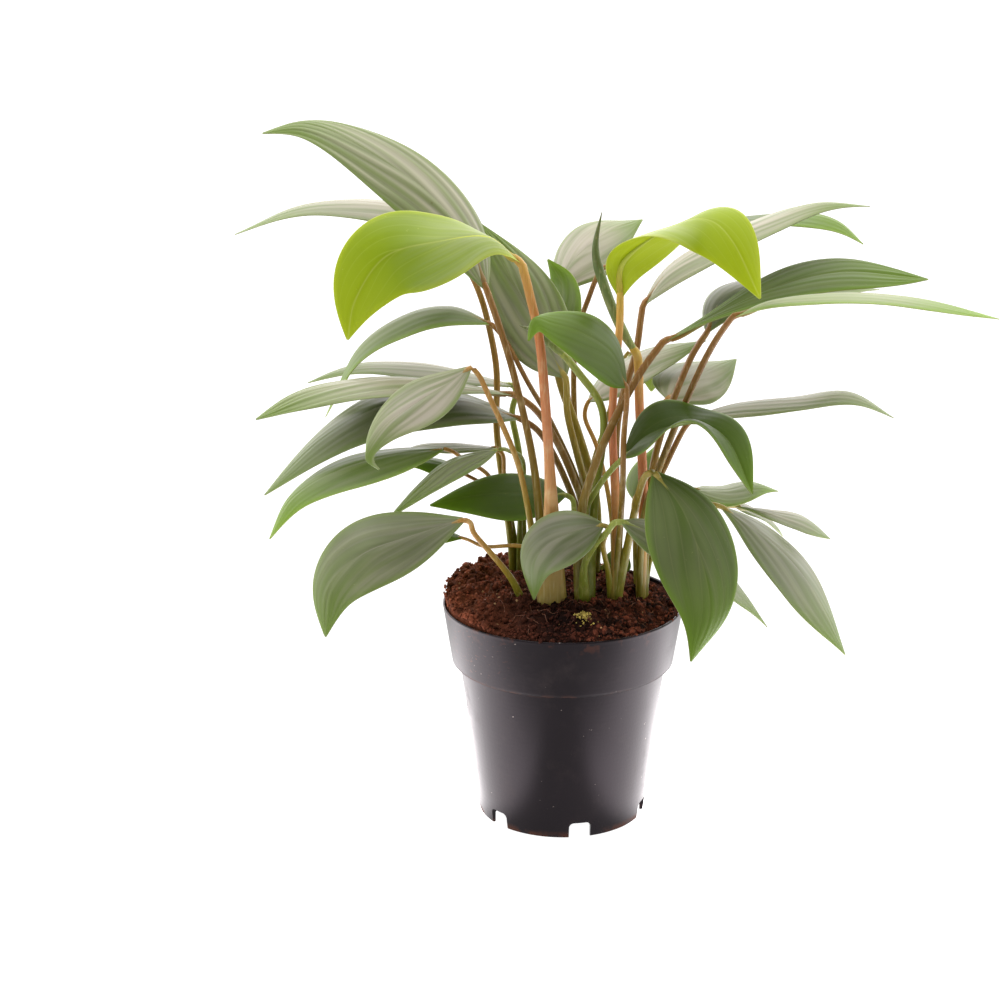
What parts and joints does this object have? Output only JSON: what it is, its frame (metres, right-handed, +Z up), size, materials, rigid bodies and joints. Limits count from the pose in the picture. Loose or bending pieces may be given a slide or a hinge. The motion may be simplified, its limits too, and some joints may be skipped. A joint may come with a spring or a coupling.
{
  "type": "potted homalomena",
  "caption": "Leafy aroid house plant with long stalked, pleated pointed leaves spreading from a round tapered nursery pot filled with mounded brown soil.",
  "frame": {"origin": "on the ground under the middle of the pot, on the flat underside of its centre foot", "axes": "+Z up, -Y towards the viewer of the picture, +X to the viewer's right"},
  "size_m": [0.3714, 0.1773, 0.3462],
  "materials": {
    "pot": "satin black moulded plastic",
    "soil": "rough moist coir and peat",
    "stalk": "smooth brown to olive petiole",
    "mature": "satin grey-green pleated leaf",
    "dark": "satin dark green pleated leaf",
    "fresh": "satin mid green pleated leaf",
    "lime": "satin yellow-green young leaf"
  },
  "bodies": {
    "root": {"pot": "pot", "soil": "soil", "shoot_front": "stalk", "shoot_left": "stalk", "shoot_centre": "stalk", "shoot_mid_right": "stalk", "shoot_right": "stalk", "shoot_back_left": "stalk", "shoot_back": "stalk", "blade_top_left": "mature", "blade_far_left_thin": "mature", "blade_striped_left": "mature", "blade_curled_front_left": "mature", "blade_under_left": "mature", "blade_edge_on_left": "mature", "blade_low_left": "mature", "blade_front_centre": "mature", "blade_front_right": "mature", "blade_behind_front_right": "mature", "blade_right_drooping": "mature", "blade_right_narrow": "mature", "blade_right_pale": "mature", "blade_right_long_thin": "mature", "blade_right_grey": "mature", "blade_right_back_grey": "mature", "blade_top_right": "mature", "blade_back_top": "mature", "blade_back_grey": "mature", "blade_back_right_short": "mature", "blade_mid_left_dark": "dark", "blade_small_left": "dark", "blade_narrow_left": "dark", "blade_tiny_left": "dark", "blade_dark_centre": "dark", "blade_right_folded": "dark", "blade_centre_dark": "dark", "blade_low_back": "dark", "blade_mid_left_green": "fresh", "blade_drooping_left": "fresh", "blade_right_light": "fresh", "blade_right_longest": "fresh", "blade_top_right_light": "fresh", "blade_centre_front": "fresh", "blade_centre_back": "fresh", "blade_back_light_tip": "fresh", "blade_back_right_green": "fresh", "blade_lime_left": "lime", "blade_lime_right": "lime", "rolled_spear": "fresh", "rolled_spear_left": "fresh"}
  },
  "joints": []
}
